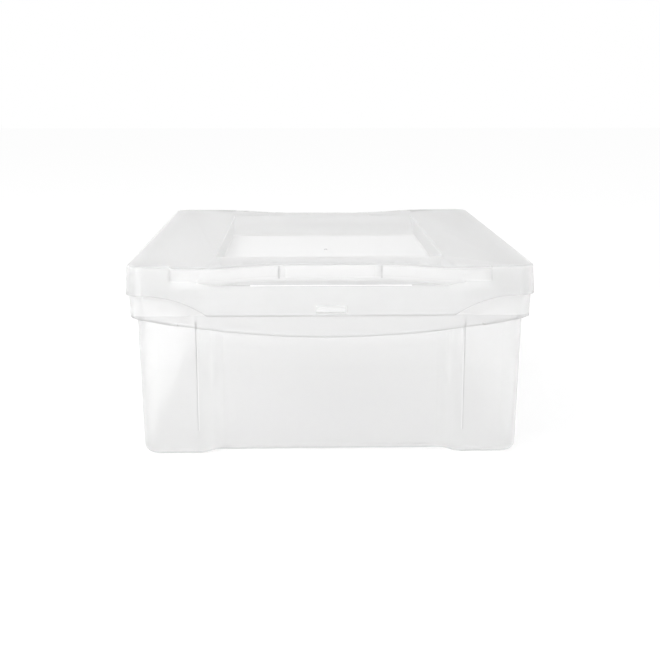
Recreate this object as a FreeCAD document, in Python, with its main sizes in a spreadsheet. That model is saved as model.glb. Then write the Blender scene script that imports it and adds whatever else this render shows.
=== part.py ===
"""Photo keeper case: a moulded bin of clear, frosted plastic and a lid that snaps on and lifts off.

Millimetres. The origin is on the ground under the middle of the case, the front faces -Y and +Z is up.
The case has two mouldings. The bin has corner columns with set-back end walls between them, a turned-down
rim that dips at both ends, a bowed apron below each dip and a snap catch. The lid has a dished top with a
sunk tray and hidden ribs, a scoop over each dip of the rim, and a skirt that drops to a snap flap.
"""
import FreeCAD, Part
import Sketcher
import math
import os
import re

# Driving sizes, in millimetres and degrees, one row of the sheet each
CASE_SIZES = [
    ("case_width", 304.8),
    ("case_depth", 384.0),
    ("case_height", 148.5),
    ("cut_overrun", 6.0),
    ("edge_slack", 0.05),
]
LID_SIZES = [
    ("lid_wall", 2.0),
    ("lid_flare", 2.9),
    ("lid_corner", 13.0),
    ("lid_edge", 1.8),
    ("dish_sag", 1.25),
    ("skirt_drop", 22.2),
    ("flap_drop", 37.8),
    ("flap_margin", 11.4),
    ("flap_bend", 85.0),
    ("scoop_clearance", 15.0),
    ("scoop_flat", 34.0),
    ("scoop_depth", 21.0),
    ("scoop_drop", 13.9),
    ("scoop_foot", 1.2),
    ("ledge_edge", 0.7),
    ("tray_margin", 63.1),
    ("tray_border", 42.0),
    ("tray_ramp", 58.0),
    ("tray_sink", 15.6),
    ("tray_foot", 1.0),
    ("rib_offset", 39.0),
    ("rib_wall", 1.6),
    ("rib_drop", 13.0),
    ("window_play", 1.0),
    ("window_headroom", 0.5),
    ("window_rise", 2.8),
    ("gate_radius", 1.5),
    ("gate_proud", 0.4),
]
BIN_SIZES = [
    ("body_gap", 0.55),
    ("body_draft", 1.27),
    ("body_corner", 14.0),
    ("body_wall", 2.0),
    ("floor_wall", 2.4),
    ("foot_round", 7.0),
    ("floor_bevel", 3.0),
    ("panel_setback", 9.5),
    ("panel_swing", 20.0),
    ("column_width", 50.4),
    ("rim_wall", 1.8),
    ("rim_clearance", 0.7),
    ("rim_play", 0.6),
    ("rim_edge", 0.6),
    ("corner_ease", 0.5),
    ("dip_margin", 33.4),
    ("dip_corner", 3.0),
    ("ledge_clearance", 0.3),
    ("step_clearance", 0.6),
    ("skirt_inset", 1.25),
    ("skirt_draft", 1.5),
    ("skirt_height", 17.0),
    ("apron_margin", 5.4),
    ("apron_bow", 15.2),
    ("grip_margin", 37.4),
    ("grip_slope", 18.0),
    ("grip_depth", 2.2),
    ("grip_cover", 2.5),
    ("grip_fall", 8.7),
    ("catch_width", 21.0),
    ("catch_height", 4.5),
    ("catch_nose", 1.6),
    ("catch_clearance", 0.3),
]

doc = FreeCAD.newDocument("photo_keeper_case")
sizes = doc.addObject("Spreadsheet::Sheet", "sizes")
for row, (alias, size) in enumerate(CASE_SIZES + LID_SIZES + BIN_SIZES, 1):
    sizes.set(f"A{row}", alias)
    sizes.set(f"B{row}", str(size))
    sizes.setAlias(f"B{row}", alias)
doc.recompute()


def bound(text):
    """An expression in which each word with an underscore is a cell of the sheet."""
    return re.sub(r"\b([a-z]+(?:_[a-z]+)+)\b", r"sizes.\1", str(text))


def value(text):
    """What an expression comes to, in millimetres."""
    return float(sizes.evalExpression(bound(text)))


# Sketches and features

def origin_plane(body, role):
    return next(item for item in body.Origin.OriginFeatures if item.Role == role)


def arc_between(start, end, radius, turn):
    """The short arc from start to end that turns left or right.

    It is drawn counter-clockwise, as a sketch wants it.
    """
    chord = end - start
    side = 1 if turn == "left" else -1
    across = FreeCAD.Vector(-chord.y, chord.x, 0) * (side / chord.Length)
    centre = (start + end) / 2 + across * math.sqrt(radius**2 - (chord.Length / 2) ** 2)
    first, last = (start, end) if turn == "left" else (end, start)
    circle = Part.Circle(centre, FreeCAD.Vector(0, 0, 1), radius)
    angles = [math.atan2(place.y - centre.y, place.x - centre.x) for place in (first, last)]
    if angles[1] < angles[0]:
        angles[1] += 2 * math.pi
    return Part.ArcOfCircle(circle, *angles)


def draw_loop(sketch, corners):
    """Adds one closed loop. A corner is (across, up), or (across, up, turn, radius) where an arc starts."""
    places = [FreeCAD.Vector(value(corner[0]), value(corner[1]), 0) for corner in corners]
    first = sketch.GeometryCount
    starts, ends = [], []
    for index, corner in enumerate(corners):
        here, there = places[index], places[(index + 1) % len(corners)]
        if len(corner) == 2:
            sketch.addGeometry(Part.LineSegment(here, there))
            starts.append(1)
        else:
            sketch.addGeometry(arc_between(here, there, value(corner[3]), corner[2]))
            starts.append(1 if corner[2] == "left" else 2)
        ends.append(3 - starts[-1])
    for index, corner in enumerate(corners):
        edge = first + index
        following = (index + 1) % len(corners)
        join = Sketcher.Constraint("Coincident", edge, ends[index], first + following, starts[following])
        sketch.addConstraint(join)
        for kind, text in (("DistanceX", corner[0]), ("DistanceY", corner[1])):
            place = sketch.addConstraint(Sketcher.Constraint(kind, edge, starts[index], value(text)))
            sketch.setExpression(f"Constraints[{place}]", bound(text))
        if len(corner) == 4:
            round_ = sketch.addConstraint(Sketcher.Constraint("Radius", edge, value(corner[3])))
            sketch.setExpression(f"Constraints[{round_}]", bound(corner[3]))


def draw(body, name, role, offset, *loops):
    """A sketch of closed loops on one of the body's own planes, moved along the plane's normal."""
    sketch = body.newObject("Sketcher::SketchObject", name)
    sketch.AttachmentSupport = (origin_plane(body, role), [""])
    sketch.MapMode = "FlatFace"
    sketch.setExpression(".AttachmentOffset.Base.z", bound(offset))
    for corners in loops:
        draw_loop(sketch, corners)
    doc.recompute()
    return sketch


def loft(body, name, lower, upper, cut=False):
    kind = "PartDesign::SubtractiveLoft" if cut else "PartDesign::AdditiveLoft"
    feature = body.newObject(kind, name)
    feature.Profile = lower
    feature.Sections = [upper]
    feature.Ruled = True
    doc.recompute()
    return feature


def extrude(body, name, sketch, length, cut=False, both_ways=False, backwards=False):
    """A pad or, with cut, a pocket. A pocket goes against its sketch's normal unless it is turned."""
    feature = body.newObject("PartDesign::Pocket" if cut else "PartDesign::Pad", name)
    feature.Profile = sketch
    feature.SideType = "Symmetric" if both_ways else "One side"
    feature.Reversed = backwards
    feature.setExpression("Length", bound(length))
    doc.recompute()
    return feature


def mirror(body, name, features, role):
    feature = body.newObject("PartDesign::Mirrored", name)
    feature.Originals = features
    feature.MirrorPlane = (origin_plane(body, role), [""])
    body.Tip = feature
    doc.recompute()
    return feature


def soften(body, name, size, chosen, bevel=False):
    """Rounds or, with bevel, chamfers the edges of the body so far that chosen picks out."""
    base = body.Tip
    edges = [f"Edge{number}" for number, edge in enumerate(base.Shape.Edges, 1) if chosen(edge)]
    feature = body.newObject("PartDesign::Chamfer" if bevel else "PartDesign::Fillet", name)
    feature.Base = (base, edges)
    feature.setExpression("Size" if bevel else "Radius", bound(size))
    doc.recompute()
    return feature


def flare(body, name, angle, chosen):
    """Drafts the upright walls of the body so far that chosen picks out, wider towards the top."""
    base = body.Tip
    walls = [f"Face{number}" for number, face in enumerate(base.Shape.Faces, 1) if chosen(face)]
    feature = body.newObject("PartDesign::Draft", name)
    feature.Base = (base, walls)
    feature.NeutralPlane = (origin_plane(body, "XY_Plane"), [""])
    feature.Reversed = True
    feature.setExpression("Angle", bound(angle))
    doc.recompute()
    return feature


# Outlines, as corners whose places are expressions

def minus(text):
    return f"-({text})"


def level_at(edge, height):
    """Whether an edge lies level at a height."""
    low, high = edge.BoundBox.ZMin, edge.BoundBox.ZMax
    slack = value("edge_slack")
    return abs(low - height) < slack and abs(high - height) < slack


def round_box(half_x, half_y, corner):
    """A rectangle about the origin with round corners, counter-clockwise."""
    inner_x, inner_y = f"({half_x}) - ({corner})", f"({half_y}) - ({corner})"
    return [
        (half_x, minus(inner_y)),
        (half_x, inner_y, "left", corner),
        (inner_x, half_y),
        (minus(inner_x), half_y, "left", corner),
        (minus(half_x), inner_y),
        (minus(half_x), minus(inner_y), "left", corner),
        (minus(inner_x), minus(half_y)),
        (inner_x, minus(half_y), "left", corner),
    ]


def set_in(outer, inner, face, depth, wall="0"):
    """The run of an end wall, along +X on the -Y side, that swings in by depth between two columns.

    Each swing is two equal arcs, level at both ends. With a wall, it is the same run that much further in.
    """
    length = f"(({outer}) - ({inner}))"
    radius = f"({length} * {length} + ({depth}) * ({depth})) / (4 * ({depth}))"
    square = f"({length} * {length} + ({depth}) * ({depth}))"
    sine = f"(2 * {length} * ({depth}) / {square})"
    cosine = f"(({length} * {length} - ({depth}) * ({depth})) / {square})"
    convex, hollow = f"{radius} - ({wall})", f"{radius} + ({wall})"
    middle = f"(({outer}) + ({inner})) / 2 + ({wall}) * {sine}"
    middle_face = f"({face}) - ({depth}) / 2 - ({wall}) * {cosine}"
    outer_face, inner_face = f"({face}) - ({wall})", f"({face}) - ({wall}) - ({depth})"
    return [
        (minus(outer), minus(outer_face), "left", convex),
        (minus(middle), minus(middle_face), "right", hollow),
        (minus(inner), minus(inner_face)),
        (inner, minus(inner_face), "right", hollow),
        (middle, minus(middle_face), "left", convex),
        (outer, minus(outer_face)),
    ]


def half_turn(run):
    """The same run of corners on the other side of the origin."""
    return [(minus(corner[0]), minus(corner[1]), *corner[2:]) for corner in run]


def body_outline(half_x, half_y, corner, wall="0"):
    """The bin's wall in plan: round corners, columns, and an end panel set back front and rear.

    The half sizes are the outer wall's, and the outline is that much inside them.
    """
    box = round_box(f"({half_x}) - ({wall})", f"({half_y}) - ({wall})", f"({corner}) - ({wall})")
    column_reach = "(case_width / 2 - column_width)"
    run = set_in(column_reach, f"{column_reach} - panel_swing", half_y, "panel_setback", wall)
    return box[:3] + half_turn(run) + box[3:7] + run + box[7:]


def levels(body, name, low, high, outline_at):
    """Two level sketches of one outline, whose sizes follow the height."""
    lower = draw(body, f"{name}_low", "XY_Plane", low, outline_at(low))
    upper = draw(body, f"{name}_high", "XY_Plane", high, outline_at(high))
    return lower, upper


# Places that both mouldings share

SKIRT_BOTTOM = "(case_height - skirt_drop)"
FLAP_BOTTOM = "(case_height - flap_drop)"
LEDGE_TOP = "(case_height - scoop_drop)"
LEDGE_BOTTOM = f"({LEDGE_TOP} - lid_wall)"
RIM_TOP = "(case_height - lid_wall - rim_clearance)"
STEP_HEIGHT = f"({SKIRT_BOTTOM} - step_clearance)"
DIP_HEIGHT = f"({LEDGE_BOTTOM} - ledge_clearance)"
SKIRT_LOW = f"({STEP_HEIGHT} - skirt_height)"
APRON_LOW = f"({SKIRT_LOW} - apron_bow)"
DIP_REACH = "(case_width / 2 - dip_margin)"
RIM_CORNER = "(lid_corner - lid_wall + corner_ease)"


def lid_outer(full, height):
    """Half the lid's outer size, across or along, at a height."""
    return f"({full} / 2 + (case_height - ({height})) * tan(lid_flare))"


def lid_inner(full, height):
    return f"({lid_outer(full, height)} - lid_wall)"


def skirt_outer(full, height):
    """Half the size of the bin's rim below its step."""
    return f"({full} / 2 - skirt_inset - ({STEP_HEIGHT} - ({height})) * tan(skirt_draft))"


def rim_outer(full, height):
    """Half the size of the bin's rim above its step, where the lid's skirt goes over it."""
    return f"({lid_inner(full, RIM_TOP)} - rim_play - ({RIM_TOP} - ({height})) * tan(body_draft))"


def foot_outer(full):
    """Half the size of the bin's foot, so that its drafted wall ends a gap inside the rim's top."""
    return f"({rim_outer(full, RIM_TOP)} - rim_wall - body_gap - {RIM_TOP} * tan(body_draft))"


# The bin

def build_rim(body):
    """The turned-down rim: a stepped skirt, hollow from below, closed at the top."""
    def skirt_at(height, wall="0"):
        half_x = f"{skirt_outer('case_width', height)} - ({wall})"
        half_y = f"{skirt_outer('case_depth', height)} - ({wall})"
        return round_box(half_x, half_y, f"{RIM_CORNER} - ({wall})")

    def rim_at(height, wall="0"):
        half_x = f"{rim_outer('case_width', height)} - ({wall})"
        half_y = f"{rim_outer('case_depth', height)} - ({wall})"
        return round_box(half_x, half_y, f"{RIM_CORNER} - ({wall})")

    def walled(outline_at):
        """The same outline one wall further in."""
        return lambda height: outline_at(height, "rim_wall")

    def lead_at(height):
        return rim_at(height, f"{height} - {shoulder}")

    def end_pocket(height):
        """The hollow at one long side and its two corners, beside the dips."""
        half_x = f"{rim_outer('case_width', height)} - rim_wall"
        half_y = f"{rim_outer('case_depth', height)} - rim_wall"
        near, corner = f"{DIP_REACH} + rim_wall", f"{RIM_CORNER} - rim_wall"
        return [
            (near, minus(half_y)),
            (f"{half_x} - ({corner})", minus(half_y), "left", corner),
            (half_x, minus(f"{half_y} - ({corner})")),
            (half_x, f"{half_y} - ({corner})", "left", corner),
            (f"{half_x} - ({corner})", half_y),
            (near, half_y),
        ]

    low = f"({APRON_LOW} - cut_overrun)"
    shelf = f"({STEP_HEIGHT} - rim_wall)"
    dip_roof = f"({DIP_HEIGHT} - rim_wall)"
    rim_roof = f"({RIM_TOP} - rim_wall)"
    shoulder = f"({RIM_TOP} - rim_edge)"
    loft(body, "skirt_block", *levels(body, "skirt", low, STEP_HEIGHT, skirt_at))
    loft(body, "rim_block", *levels(body, "rim", STEP_HEIGHT, shoulder, rim_at))
    loft(body, "rim_lead", *levels(body, "rim_lead", shoulder, RIM_TOP, lead_at))
    loft(body, "skirt_hollow", *levels(body, "skirt_inner", low, shelf, walled(skirt_at)), cut=True)
    loft(body, "rim_hollow", *levels(body, "rim_inner", shelf, dip_roof, walled(rim_at)), cut=True)
    pocket = end_pocket(dip_roof)
    pocket_sketch = draw(body, "rim_ends_outline", "XY_Plane", dip_roof, pocket, half_turn(pocket))
    extrude(body, "rim_ends", pocket_sketch, f"{rim_roof} - {dip_roof}", cut=True, backwards=True)


def build_apron(body):
    """The finger recess front and rear, then the skirt's lower edge, bowed down at both ends."""
    def grip(wall):
        reach = f"case_width / 2 - grip_margin + {wall}"
        shoulder = "(case_width / 2 - grip_margin - grip_slope)"
        top = f"{FLAP_BOTTOM} + grip_cover + {wall}"
        bend = f"(grip_slope^2 + grip_fall^2) / (2 * grip_fall) + {wall}"
        tip = f"{FLAP_BOTTOM} + grip_cover - grip_fall"
        return [
            (minus(reach), low),
            (reach, low),
            (reach, tip, "left", bend),
            (shoulder, top),
            (minus(shoulder), top, "left", bend),
            (minus(reach), tip),
        ]

    low = f"({APRON_LOW} - 2 * cut_overrun)"
    grip_face = f"({skirt_outer('case_depth', APRON_LOW)} - grip_depth)"
    backing = extrude(
        body, "grip_backing",
        draw(body, "grip_backing_outline", "XZ_Plane", f"{grip_face} - rim_wall", grip("rim_wall")),
        "grip_depth + rim_wall / 2",
    )
    recess = extrude(
        body, "grip_recess",
        draw(body, "grip_outline", "XZ_Plane", grip_face, grip("0")),
        "grip_depth + cut_overrun", cut=True, backwards=True,
    )
    mirror(body, "rear_grip", [backing, recess], "XZ_Plane")
    reach = "(case_width / 2 - apron_margin)"
    bow = f"({reach}^2 + apron_bow^2) / (2 * apron_bow)"
    edge = [
        ("-case_width", low),
        ("case_width", low),
        ("case_width", SKIRT_LOW),
        (reach, SKIRT_LOW, "right", bow),
        (minus(reach), SKIRT_LOW),
        ("-case_width", SKIRT_LOW),
    ]
    edge_sketch = draw(body, "apron_edge", "XZ_Plane", "0", edge)
    extrude(body, "apron_cut", edge_sketch, "2 * case_depth", cut=True, both_ways=True)


def build_tub(body):
    """The tub itself, with its set-back end walls, hung inside the rim."""
    slack = value("edge_slack")

    def outline(wall):
        return body_outline(foot_outer("case_width"), foot_outer("case_depth"), "body_corner", wall)

    def on_wall(face):
        """Every face that starts at the ground and isn't the ground itself."""
        return abs(face.BoundBox.ZMin) < slack < face.BoundBox.ZMax

    extrude(body, "tub_block", draw(body, "tub_plan", "XY_Plane", "0", outline("0")), RIM_TOP)
    flare(body, "tub_draft", "body_draft", on_wall)
    soften(body, "foot_edge", "foot_round", lambda edge: level_at(edge, 0))
    above, foot = f"({RIM_TOP} + cut_overrun)", "(floor_wall + floor_bevel)"

    def inside_at(height, inset="0"):
        return outline(f"body_wall + {inset} - ({height}) * tan(body_draft)")

    def bevel_at(height):
        return inside_at(height, f"{foot} - {height}")

    loft(body, "cavity_foot", *levels(body, "foot", "floor_wall", foot, bevel_at), cut=True)
    loft(body, "tub_cavity", *levels(body, "cavity", foot, above, inside_at), cut=True)


def build_dip(body):
    """The rim's dip front and rear, which takes the lid's scoops."""
    above = f"({RIM_TOP} + cut_overrun)"
    floor_end = f"({DIP_REACH} - dip_corner)"
    dip = [
        (minus(floor_end), DIP_HEIGHT),
        (floor_end, DIP_HEIGHT, "left", "dip_corner"),
        (DIP_REACH, f"{DIP_HEIGHT} + dip_corner"),
        (DIP_REACH, above),
        (minus(DIP_REACH), above),
        (minus(DIP_REACH), f"{DIP_HEIGHT} + dip_corner", "left", "dip_corner"),
    ]
    dip_sketch = draw(body, "dip_outline", "XZ_Plane", "0", dip)
    extrude(body, "dip", dip_sketch, "2 * case_depth", cut=True, both_ways=True)


def build_catch(body):
    """The snap catch on the middle of each apron, a wedge whose slope lets the flap ride over it."""
    low = f"({FLAP_BOTTOM} + window_rise + catch_clearance)"
    high = f"({low} + catch_height)"
    root = minus(f"{skirt_outer('case_depth', low)} - rim_wall / 2")
    nose = minus(f"{lid_inner('case_depth', high)} - catch_clearance")
    wedge = [
        (nose, low),
        (root, low),
        (root, high),
        (nose, f"{low} + catch_nose"),
    ]
    wedge_sketch = draw(body, "catch_outline", "YZ_Plane", "0", wedge)
    front = extrude(body, "catch", wedge_sketch, "catch_width", both_ways=True)
    mirror(body, "rear_catch", [front], "XZ_Plane")


def build_bin():
    body = doc.addObject("PartDesign::Body", "bin")
    doc.recompute()
    build_rim(body)
    build_apron(body)
    build_tub(body)
    build_dip(body)
    build_catch(body)
    return body


# The lid

def build_crown(body):
    """The lid's shell: flared skirt, dished top, and a liner that keeps the top one thickness."""
    def outer_at(height):
        return round_box(lid_outer("case_width", height), lid_outer("case_depth", height), "lid_corner")

    def inner_at(height):
        half_x, half_y = lid_inner("case_width", height), lid_inner("case_depth", height)
        return round_box(half_x, half_y, "lid_corner - lid_wall")

    low, high = f"({FLAP_BOTTOM} - cut_overrun)", "(case_height + cut_overrun)"
    half = "case_width / 2"
    bend = f"((({half})^2 + dish_sag^2) / (2 * dish_sag))"

    def dish_height(across, wall="0"):
        return f"(case_height - dish_sag + {bend} - sqrt(({bend} + {wall})^2 - ({across})^2))"

    loft(body, "lid_block", *levels(body, "lid", low, high, outer_at))
    wide = f"({half} + cut_overrun)"
    dish = [
        (wide, dish_height(wide)),
        (wide, f"{high} + cut_overrun"),
        (minus(wide), f"{high} + cut_overrun"),
        (minus(wide), dish_height(wide), "left", bend),
    ]
    dish_sketch = draw(body, "dish_outline", "XZ_Plane", "0", dish)
    extrude(body, "dish", dish_sketch, "2 * case_depth", cut=True, both_ways=True)
    loft(body, "lid_hollow", *levels(body, "lid_inner", low, "(case_height - lid_wall)", inner_at), cut=True)
    narrow = f"({half} - lid_corner)"
    liner = [
        (minus(narrow), dish_height(narrow, "lid_wall"), "left", f"{bend} + lid_wall"),
        (narrow, dish_height(narrow, "lid_wall")),
        (narrow, "case_height - dish_sag - lid_wall / 4"),
        (minus(narrow), "case_height - dish_sag - lid_wall / 4"),
    ]
    liner_sketch = draw(body, "dish_liner_outline", "XZ_Plane", "0", liner)
    extrude(body, "dish_liner", liner_sketch, "case_depth - lid_wall", both_ways=True)


def build_scoops(body):
    """The scoop front and rear: a wall that swings in, down to a ledge flush with the skirt."""
    plate = "(case_height - dish_sag - lid_wall / 2)"
    face = lid_outer("case_depth", LEDGE_TOP)
    reach = f"({DIP_REACH} - scoop_clearance)"

    def scoop(wall, front):
        run = set_in(reach, "scoop_flat", face, "scoop_depth", wall)
        return run + [(reach, minus(front)), (minus(reach), minus(front))]

    shell_outline = scoop("lid_wall", "case_depth / 2 - lid_wall / 4")
    shell_sketch = draw(body, "scoop_shell_outline", "XY_Plane", LEDGE_BOTTOM, shell_outline)
    shell = extrude(body, "scoop_shell", shell_sketch, f"{plate} - {LEDGE_BOTTOM}")
    scoop_outline = scoop("0", "case_depth / 2 + cut_overrun")
    scoop_sketch = draw(body, "scoop_outline", "XY_Plane", LEDGE_TOP, scoop_outline)
    cut = extrude(body, "scoop", scoop_sketch, "scoop_drop + cut_overrun", cut=True, backwards=True)
    mirror(body, "rear_scoop", [shell, cut], "XZ_Plane")


def build_tray(body):
    """The sunk tray in the top, its swung ramps, and the hidden ribs from the ramps to the scoops."""
    reach = "(case_depth / 2 - tray_border - tray_ramp)"
    width = "(case_width - 2 * tray_margin)"
    square = "(tray_ramp^2 + tray_sink^2)"
    radius = f"({square} / (4 * tray_sink))"
    sine = f"(2 * tray_ramp * tray_sink / {square})"
    cosine = f"((tray_ramp^2 - tray_sink^2) / {square})"

    def ramps(wall):
        end, top = f"{reach} + tray_ramp", f"case_height - ({wall})"
        middle = f"{reach} + tray_ramp / 2 + ({wall}) * {sine}"
        half_way = f"case_height - tray_sink / 2 - ({wall}) * {cosine}"
        floor = f"case_height - tray_sink - ({wall})"
        lip, foot = f"{radius} - ({wall})", f"{radius} + ({wall})"
        return [
            (minus(end), top, "right", lip),
            (minus(middle), half_way, "left", foot),
            (minus(reach), floor),
            (reach, floor, "left", foot),
            (middle, half_way, "right", lip),
            (end, top),
        ]

    plate = "(case_height - dish_sag - lid_wall / 2)"
    rib_foot = "(case_height - rib_drop)"
    rib_near, rib_far = "rib_offset - rib_wall / 2", "rib_offset + rib_wall / 2"
    rib_end = f"{lid_outer('case_depth', LEDGE_TOP)} - scoop_depth - lid_wall / 2"
    ribs = [
        [(near, low), (far, low), (far, high), (near, high)]
        for near, far in ((rib_near, rib_far), (minus(rib_far), minus(rib_near)))
        for low, high in ((reach, rib_end), (minus(rib_end), minus(reach)))
    ]
    extrude(body, "ribs", draw(body, "rib_outlines", "XY_Plane", rib_foot, *ribs), f"{plate} - {rib_foot}")
    tray_sketch = draw(body, "tray_shell_outline", "YZ_Plane", "0", ramps("lid_wall"))
    extrude(body, "tray_shell", tray_sketch, f"{width} + 2 * lid_wall", both_ways=True)
    over = "case_height + cut_overrun"
    hollow = ramps("0") + [(f"{reach} + tray_ramp", over), (minus(f"{reach} + tray_ramp"), over)]
    hollow_sketch = draw(body, "tray_outline", "YZ_Plane", "0", hollow)
    extrude(body, "tray", hollow_sketch, width, cut=True, both_ways=True)
    gate = body.newObject("PartDesign::AdditiveCylinder", "gate_mark")
    gate.AttachmentSupport = (origin_plane(body, "XY_Plane"), [""])
    gate.MapMode = "FlatFace"
    gate.setExpression(".AttachmentOffset.Base.z", bound("case_height - tray_sink - lid_wall / 2"))
    gate.setExpression("Radius", bound("gate_radius"))
    gate.setExpression("Height", bound("lid_wall / 2 + gate_proud"))
    doc.recompute()


def build_flaps(body):
    """The skirt's lower edge, which drops to a snap flap front and rear, and the flaps' windows."""
    fall = "(flap_drop - skirt_drop)"
    reach = "(case_width / 2 - flap_margin)"
    foot = f"({reach} - sqrt(flap_bend^2 - (flap_bend - {fall})^2))"
    low = f"({FLAP_BOTTOM} - 2 * cut_overrun)"
    edge = [
        ("-case_width", low),
        ("case_width", low),
        ("case_width", SKIRT_BOTTOM),
        (reach, SKIRT_BOTTOM, "left", "flap_bend"),
        (foot, FLAP_BOTTOM),
        (minus(foot), FLAP_BOTTOM, "left", "flap_bend"),
        (minus(reach), SKIRT_BOTTOM),
        ("-case_width", SKIRT_BOTTOM),
    ]
    edge_sketch = draw(body, "flap_edge", "XZ_Plane", "0", edge)
    extrude(body, "flap_cut", edge_sketch, "2 * case_depth", cut=True, both_ways=True)
    sill = f"{FLAP_BOTTOM} + window_rise"
    head = f"{sill} + catch_clearance + catch_height + window_headroom"
    side = "(catch_width / 2 + window_play)"
    window = [
        (minus(side), sill),
        (side, sill),
        (side, head),
        (minus(side), head),
    ]
    window_sketch = draw(body, "window_outline", "XZ_Plane", "0", window)
    extrude(body, "windows", window_sketch, "2 * case_depth", cut=True, both_ways=True)


def round_crown(body):
    """The foot and the front edge of each scoop's ledge, the tray's foot, and the outline of the top."""
    ledge = value(LEDGE_TOP)
    floor = value("case_height - tray_sink")
    top_low = value("case_height - dish_sag - lid_wall / 10")
    beside_tray = value("case_width / 2 - tray_margin + lid_wall")
    beyond_tray = value("case_depth / 2 - tray_border")
    mid_scoop = value(f"{lid_outer('case_depth', LEDGE_TOP)} - scoop_depth / 2")

    def on_scoop_foot(edge):
        straight = edge.Curve.TypeId == "Part::GeomLine"
        return level_at(edge, ledge) and straight and abs(edge.BoundBox.Center.y) < mid_scoop

    def on_ledge_front(edge):
        along_x = edge.BoundBox.YLength < value("edge_slack")
        return level_at(edge, ledge) and along_x and not on_scoop_foot(edge)

    def on_tray_foot(edge):
        return level_at(edge, floor) and edge.BoundBox.XLength < value("edge_slack")

    def on_top_outline(edge):
        middle = edge.BoundBox.Center
        return edge.BoundBox.ZMin > top_low and (abs(middle.x) > beside_tray or abs(middle.y) > beyond_tray)

    soften(body, "scoop_foot_bevel", "scoop_foot", on_scoop_foot, bevel=True)
    soften(body, "ledge_front_bevel", "ledge_edge", on_ledge_front, bevel=True)
    soften(body, "tray_foot_bevel", "tray_foot", on_tray_foot, bevel=True)
    soften(body, "top_edge_round", "lid_edge", on_top_outline)


def build_lid():
    body = doc.addObject("PartDesign::Body", "lid")
    doc.recompute()
    build_crown(body)
    build_scoops(body)
    build_tray(body)
    build_flaps(body)
    round_crown(body)
    return body


parts = [build_bin(), build_lid()]
doc.recompute()
for item in doc.Objects:
    if "Invalid" in item.State or "Error" in item.State:
        raise SystemExit(f"{item.Label} failed: {item.State}")
for part in parts:
    shape = part.Shape
    if shape.isNull() or not shape.isValid() or len(shape.Solids) != 1:
        raise SystemExit(f"{part.Label} isn't one sound solid")
os.makedirs("parts", exist_ok=True)
for part in parts:
    part.Shape.exportStep(f"parts/{part.Label}.step")
    print(f"{part.Label}: one solid, {part.Shape.Volume:.0f} cubic mm")
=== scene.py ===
"""Photo keeper case of frosted clear plastic: a deep bin and the snap lid that lifts off it, in metres."""
import math

import bpy
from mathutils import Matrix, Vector


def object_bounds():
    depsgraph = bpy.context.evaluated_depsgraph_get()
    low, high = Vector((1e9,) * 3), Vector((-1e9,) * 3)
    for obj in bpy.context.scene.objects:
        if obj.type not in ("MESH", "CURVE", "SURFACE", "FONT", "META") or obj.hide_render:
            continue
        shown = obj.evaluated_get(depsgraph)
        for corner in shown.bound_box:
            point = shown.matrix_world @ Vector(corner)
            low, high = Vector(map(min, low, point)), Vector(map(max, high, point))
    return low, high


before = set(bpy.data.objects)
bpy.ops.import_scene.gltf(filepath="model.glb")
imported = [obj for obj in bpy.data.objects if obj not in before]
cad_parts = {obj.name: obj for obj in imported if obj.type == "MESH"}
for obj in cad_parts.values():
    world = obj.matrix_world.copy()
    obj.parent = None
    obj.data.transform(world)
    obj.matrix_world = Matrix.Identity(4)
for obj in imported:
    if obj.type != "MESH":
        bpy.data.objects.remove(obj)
case_low, case_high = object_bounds()


# Bin.
# One injection moulding of natural polypropylene about 2 mm thick, milky but clear enough to see
# through, with a fine satin inside and out. It stands on its own floor and carries the lid on its rim.

def patch(haze, shade, front=0.0, fades=False, **ranges):
    """A place with more haze, for a coarser finish or for painted shade and painted light: its least haze,
    the haze's white and where the place is.

    The front is the share of the haze that is lit from the seen side. The ranges are distances from
    the middle planes and the ground, or how level the surface lies. A patch that fades is full in the
    middle of its ranges and gone at their ends.
    """
    return {"haze": haze, "shade": shade, "front": front, "fades": fades, "ranges": ranges}


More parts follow.
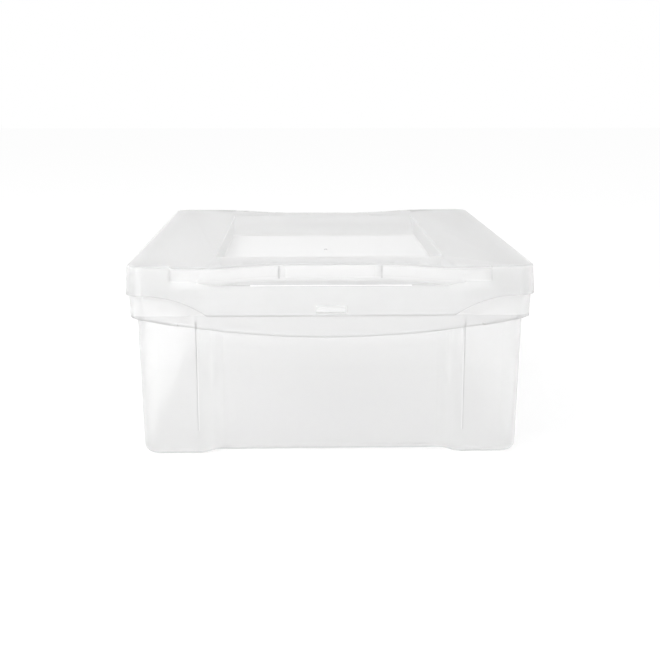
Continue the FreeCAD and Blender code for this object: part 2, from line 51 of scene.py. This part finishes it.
def satin_polypropylene(
    name, clear, roughness, ior, white, haze_white, edge_on_painted_shade, haze, steepness, patches
):
    """Milky clear plastic.

    Part of the light goes straight on, part is bent softly and a haze catches the rest. The haze
    grows from its first amount, where a wall is seen square on, to its second, where it is seen
    along. At the very edge of a curve it turns from its own white to a darker one, painted shade
    for the dark outline that clear plastic shows edge on. A height is bowed when it is counted
    from the arc that the bin's apron hangs down to.
    """
    arc_rise = 0.705
    neutral_blend = 0.5
    rim_sharpness = 30
    material = bpy.data.materials.new(name)
    material.use_nodes = True
    nodes, links = material.node_tree.nodes, material.node_tree.links

    def feed(socket, given):
        if isinstance(given, (int, float)):
            socket.default_value = given
        else:
            links.new(given, socket)

    def math_of(operation, *givens):
        node = nodes.new("ShaderNodeMath")
        node.operation = operation
        for socket, given in zip(node.inputs, givens):
            feed(socket, given)
        return node.outputs[0]

    def layered(share, under, over):
        node = nodes.new("ShaderNodeMixShader")
        feed(node.inputs["Fac"], share)
        links.new(under, node.inputs[1])
        links.new(over, node.inputs[2])
        return node.outputs[0]

    def milky(kind, shade):
        node = nodes.new(kind)
        node.inputs["Color"].default_value = (shade, shade, shade, 1)
        return node.outputs[0]

    bent = nodes["Principled BSDF"]
    bent.inputs["Base Color"].default_value = (white, white, white, 1)
    bent.inputs["Roughness"].default_value = roughness
    bent.inputs["IOR"].default_value = ior
    bent.inputs["Transmission Weight"].default_value = 1.0
    wall = layered(clear, bent.outputs[0], nodes.new("ShaderNodeBsdfTransparent").outputs[0])
    slant = nodes.new("ShaderNodeLayerWeight")
    slant.inputs["Blend"].default_value = neutral_blend
    steep = math_of("POWER", slant.outputs["Facing"], steepness)
    amount = math_of("MULTIPLY_ADD", steep, haze[1] - haze[0], haze[0])
    # Painted shade: the haze turns to a darker grey where a surface is seen edge on.
    rim = math_of("POWER", slant.outputs["Facing"], rim_sharpness)
    translucent, matt = "ShaderNodeBsdfTranslucent", "ShaderNodeBsdfDiffuse"
    milk = layered(rim, milky(translucent, haze_white), milky(translucent, edge_on_painted_shade))
    places = nodes.new("ShaderNodeTexCoord")
    measures = {}
    for output, names in (("Object", ("across", "along", "up")), ("Normal", ("side", "end", "level"))):
        both_sides = nodes.new("ShaderNodeVectorMath")
        both_sides.operation = "ABSOLUTE"
        links.new(places.outputs[output], both_sides.inputs[0])
        split = nodes.new("ShaderNodeSeparateXYZ")
        links.new(both_sides.outputs[0], split.inputs[0])
        measures.update(zip(names, split.outputs))
    arc = math_of("MULTIPLY", math_of("POWER", measures["across"], 2), arc_rise)
    measures["bowed"] = math_of("SUBTRACT", measures["up"], arc)
    for spot in patches:
        inside = 1.0
        for measure, (low, high) in spot["ranges"].items():
            middle, reach = (low + high) / 2, (high - low) / 2
            if spot["fades"]:
                away = math_of("ABSOLUTE", math_of("SUBTRACT", measures[measure], middle))
                left = math_of("SUBTRACT", 1, math_of("DIVIDE", away, reach))
                near = math_of("MAXIMUM", left, 0)
            else:
                near = math_of("COMPARE", measures[measure], middle, reach)
            inside = math_of("MULTIPLY", near, inside)
        amount = math_of("MAXIMUM", amount, math_of("MULTIPLY", inside, spot["haze"]))
        through, back = milky(translucent, spot["shade"]), milky(matt, spot["shade"])
        milk = layered(inside, milk, layered(spot["front"], through, back))
    links.new(layered(amount, wall, milk), nodes["Material Output"].inputs["Surface"])
    return material


def soften(piece):
    """Rounds the sharp moulded edges a little, so that they catch the light."""
    joined_gap = 0.00001
    edge_round = 0.0003
    sharp_angle = math.radians(60)
    weld = piece.modifiers.new("joined corners", "WELD")
    weld.merge_threshold = joined_gap
    round_edges = piece.modifiers.new("soft edges", "BEVEL")
    round_edges.width = edge_round
    round_edges.segments = 2
    round_edges.limit_method = "ANGLE"
    round_edges.angle_limit = sharp_angle
    round_edges.harden_normals = True


# Places on the bin with more haze, in metres from its middle planes and the ground. Most are
# painted shade or painted light, dark or white haze where light falls or bends in the plastic.
# Painted shade: a grey haze that fades out upwards, so the bin is darker towards the bottom.
foot_painted_shade = patch(haze=0.34, shade=0.9, fades=True, up=(-0.085, 0.085))
# Painted shade: a dark line round the foot, on the sides of its lowest 3 mm.
foot_edge_painted_shade = patch(haze=0.5, shade=0.6, front=1, level=(0, 0.8), up=(0, 0.003))
# Painted shade and painted highlight: a dark line with a light one beside it where the front corners bend.
bend = {"along": (0.18, 0.19), "up": (0.02, 0.105)}
bend_painted_shade = patch(haze=0.6, shade=0.52, front=1, across=(0.1013, 0.102), **bend)
bend_painted_highlight = patch(haze=0.35, shade=0.92, front=1, across=(0.1004, 0.1013), **bend)
# Painted light: a front-lit matt white on the rim's front, which lightens the flap in front of it.
rim_face_painted_light = patch(haze=0.3, shade=0.9, front=1, along=(0.186, 0.1925), up=(0.1107, 0.1458))
# Painted shade: a dark haze on the apron below the flap.
apron_painted_shade = patch(haze=0.16, shade=0.62, front=1, along=(0.1868, 0.1925), up=(0.0807, 0.1107))
# Painted shadow: a dark line along the apron's bowed lower edge.
apron_edge_painted_shadow = patch(haze=0.45, shade=0.58, front=1, along=(0.1868, 0.1925), bowed=(0.093, 0.0947))
# Painted highlight: a front-lit white haze on the snap catch.
catch = {"across": (0, 0.0107), "along": (0.1885, 0.1945), "up": (0.113, 0.1215)}
snap_catch_painted_highlight = patch(haze=0.6, shade=0.92, front=1, **catch)
# Painted shade: dark lines at the ends of the rim's dip.
dip_wall = {"across": (0.119, 0.1206), "along": (0.186, 0.1925), "up": (0.1335, 0.1458)}
dip_ends_painted_shade = patch(haze=0.35, shade=0.6, front=1, **dip_wall)
# Painted shade: a dark haze on the level faces of the bin between 70 and 112.5 mm up.
rim_edges_painted_shade = patch(haze=0.85, shade=0.6, front=1, level=(0.7, 1.1), up=(0.07, 0.1125))
bin_plastic = satin_polypropylene(
    "bin_polypropylene",
    clear=0.55,
    roughness=0.5,
    ior=1.2,
    white=1.0,
    haze_white=0.93,
    edge_on_painted_shade=0.6,
    haze=(0.07, 0.8),
    steepness=1.8,
    patches=[
        foot_painted_shade,
        foot_edge_painted_shade,
        bend_painted_shade,
        bend_painted_highlight,
        rim_face_painted_light,
        apron_painted_shade,
        apron_edge_painted_shadow,
        snap_catch_painted_highlight,
        dip_ends_painted_shade,
        rim_edges_painted_shade,
    ],
)
bin_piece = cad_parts["bin"]
bin_piece.material_slots[0].material = bin_plastic
soften(bin_piece)


# Lid.
# The second moulding, of the same plastic, with a matt floor in its sunk tray. Its skirt drops outside
# the rim and its two flaps snap over the catches, so only the plastic's own spring holds it on.

# Places on the lid with more haze, measured in the same way. Some are a coarser finish, the
# others painted shade or painted highlight.
tray_end = {"across": (0, 0.0889), "along": (0, 0.151), "up": (0.1288, 0.1472)}
tray_ramps = patch(haze=0.4, shade=0.93, **tray_end)
# Painted shade: a darker grey on the tray's side walls, lit half from each side, so they take the lid
# top's shaded tone.
tray_side = {"across": (0.0889, 0.094), "along": (0, 0.151), "up": (0.1288, 0.1468)}
tray_sides_painted_shade = patch(haze=0.5, shade=0.8, front=0.5, **tray_side)
tray_bottom = {"across": (0, 0.0889), "along": (0, 0.092), "up": (0.1325, 0.1333)}
tray_floor = patch(haze=0.6, shade=0.8, front=1, **tray_bottom)
# Painted shade: a near-black spot on the gate pip.
gate = {"across": (0, 0.0013), "along": (0, 0.0013), "up": (0.1325, 0.136)}
gate_pip_painted_shade = patch(haze=0.9, shade=0.3, front=1, **gate)
ledge = {"across": (0, 0.104), "along": (0.1655, 0.1925), "up": (0.1324, 0.1372)}
scoop_ledge = patch(haze=0.35, shade=0.91, **ledge)
# Painted highlight: a front-lit white line along the ledge's front edge.
lip = {"across": (0, 0.06), "along": (0.1923, 0.1947), "up": (0.1338, 0.1345)}
ledge_lip_painted_highlight = patch(haze=0.8, shade=0.9, front=1, **lip)
scoop = {"across": (0, 0.1192), "along": (0.165, 0.1945), "up": (0.1372, 0.146)}
scoop_wall = patch(haze=0.25, shade=0.93, **scoop)
# Painted shade: dark lines where the ribs stand.
rib = {"across": (0.0384, 0.0396), "along": (0.165, 0.1925), "up": (0.1358, 0.1465)}
rib_painted_shade = patch(haze=0.7, shade=0.45, front=1, **rib)
crown = {"across": (0, 0.119), "along": (0.165, 0.1945), "up": (0.145, 0.148)}
crown_edge = patch(haze=0.8, shade=0.85, level=(0.15, 0.97), **crown)
# Painted shade: a dark haze on the level faces of the skirt and the flaps.
edge_faces_painted_shade = {"haze": 0.85, "shade": 0.6, "front": 1, "level": (0.7, 1.1)}
skirt_edges_painted_shade = patch(**edge_faces_painted_shade, across=(0.03, 0.16), up=(0.1, 0.128))
# Painted shade: a dark line along the foot of the flap.
foot_of_flap = {"across": (0, 0.0925), "along": (0.19, 0.195), "up": (0.11, 0.1118)}
flap_foot_painted_shade = patch(haze=0.4, shade=0.6, front=1, **foot_of_flap)
flap_edges_painted_shade = patch(**edge_faces_painted_shade, across=(0, 0.03), up=(0.1, 0.112))
lid_plastic = satin_polypropylene(
    "lid_polypropylene",
    clear=0.7,
    roughness=0.38,
    ior=1.25,
    white=1.0,
    haze_white=0.92,
    edge_on_painted_shade=0.6,
    haze=(0.03, 0.7),
    steepness=1.5,
    patches=[
        tray_ramps,
        tray_sides_painted_shade,
        tray_floor,
        gate_pip_painted_shade,
        scoop_ledge,
        ledge_lip_painted_highlight,
        scoop_wall,
        rib_painted_shade,
        crown_edge,
        skirt_edges_painted_shade,
        flap_edges_painted_shade,
        flap_foot_painted_shade,
    ],
)
lid_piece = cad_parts["lid"]
lid_piece.material_slots[0].material = lid_plastic
soften(lid_piece)


# Floor and backdrop.
# A white studio table under a white sky. Seen directly and through the plastic both are plain white,
# and the table keeps a faint shadow of the case.

def white_when_seen(nodes, links):
    """One for camera, glossy and see-through rays, and zero for the rays that carry light."""
    rays = nodes.new("ShaderNodeLightPath")
    seen = nodes.new("ShaderNodeMath")
    seen.operation = "MAXIMUM"
    links.new(rays.outputs["Is Camera Ray"], seen.inputs[0])
    links.new(rays.outputs["Is Glossy Ray"], seen.inputs[1])
    through = nodes.new("ShaderNodeMath")
    through.operation = "MAXIMUM"
    links.new(seen.outputs[0], through.inputs[0])
    links.new(rays.outputs["Is Transmission Ray"], through.inputs[1])
    return through.outputs[0]


table_size = 12.0
table_gap = 0.0002
table_whiteness = 0.9
table_roughness = 0.9
table_glow = 1.08
glow_share = 0.6
bpy.ops.mesh.primitive_grid_add(
    x_subdivisions=2, y_subdivisions=2, size=table_size, location=(0, 0, case_low.z - table_gap)
)
table = bpy.context.object
table.name = "table"
table_white = bpy.data.materials.new("table_white")
table_white.use_nodes = True
nodes, links = table_white.node_tree.nodes, table_white.node_tree.links
lit = nodes["Principled BSDF"]
lit.inputs["Base Color"].default_value = (table_whiteness, table_whiteness, table_whiteness, 1)
lit.inputs["Roughness"].default_value = table_roughness
lit.inputs["Specular IOR Level"].default_value = 0.0
plain = nodes.new("ShaderNodeEmission")
plain.inputs["Strength"].default_value = table_glow
share = nodes.new("ShaderNodeMath")
share.operation = "MULTIPLY"
share.inputs[1].default_value = glow_share
links.new(white_when_seen(nodes, links), share.inputs[0])
blend = nodes.new("ShaderNodeMixShader")
links.new(share.outputs[0], blend.inputs["Fac"])
links.new(lit.outputs[0], blend.inputs[1])
links.new(plain.outputs[0], blend.inputs[2])
links.new(blend.outputs[0], nodes["Material Output"].inputs["Surface"])
table.data.materials.append(table_white)

sky_on_the_case = 0.92
sky_when_seen = 1.0
world = bpy.data.worlds.new("white_sky")
bpy.context.scene.world = world
world.use_nodes = True
nodes, links = world.node_tree.nodes, world.node_tree.links
sky = nodes["Background"]
sky.inputs["Color"].default_value = (1, 1, 1, 1)
strength = nodes.new("ShaderNodeMapRange")
strength.inputs["To Min"].default_value = sky_on_the_case
strength.inputs["To Max"].default_value = sky_when_seen
links.new(white_when_seen(nodes, links), strength.inputs["Value"])
links.new(strength.outputs["Result"], sky.inputs["Strength"])


# Lamps.
# A large soft box overhead and to the left, and a very weak one low on the right.

def soft_box(name, place, aim, size, power):
    lamp = bpy.data.lights.new(name, "AREA")
    lamp.shape = "SQUARE"
    lamp.size = size
    lamp.energy = power
    holder = bpy.data.objects.new(name, lamp)
    holder.location = place
    holder.rotation_euler = (Vector(aim) - Vector(place)).to_track_quat("-Z", "Y").to_euler()
    bpy.context.scene.collection.objects.link(holder)


case_middle = (0, 0, 0.08)
soft_box("key_soft_box", place=(-0.9, -0.7, 1.5), aim=case_middle, size=1.2, power=14)
soft_box("fill_soft_box", place=(1.2, -0.5, 0.5), aim=case_middle, size=0.8, power=0.5)


# Camera.
# A little above the case and almost square to its short front side.

camera_place = (-0.0215, -1.0322, 0.2828)
camera_tilt = math.radians(77.735)
camera_turn = math.radians(-1.41)
camera_data = bpy.data.cameras.new("camera")
camera_data.sensor_width = 36
camera_data.lens = 62.73
camera_data.clip_end = 50
camera = bpy.data.objects.new("camera", camera_data)
camera.location = camera_place
camera.rotation_euler = (camera_tilt, 0, camera_turn)
scene = bpy.context.scene
scene.collection.objects.link(camera)
scene.camera = camera
scene.view_settings.view_transform = "Standard"
scene.cycles.transparent_max_bounces = 64
scene.cycles.max_bounces = 24
scene.cycles.transmission_bounces = 24
scene.cycles.diffuse_bounces = 8
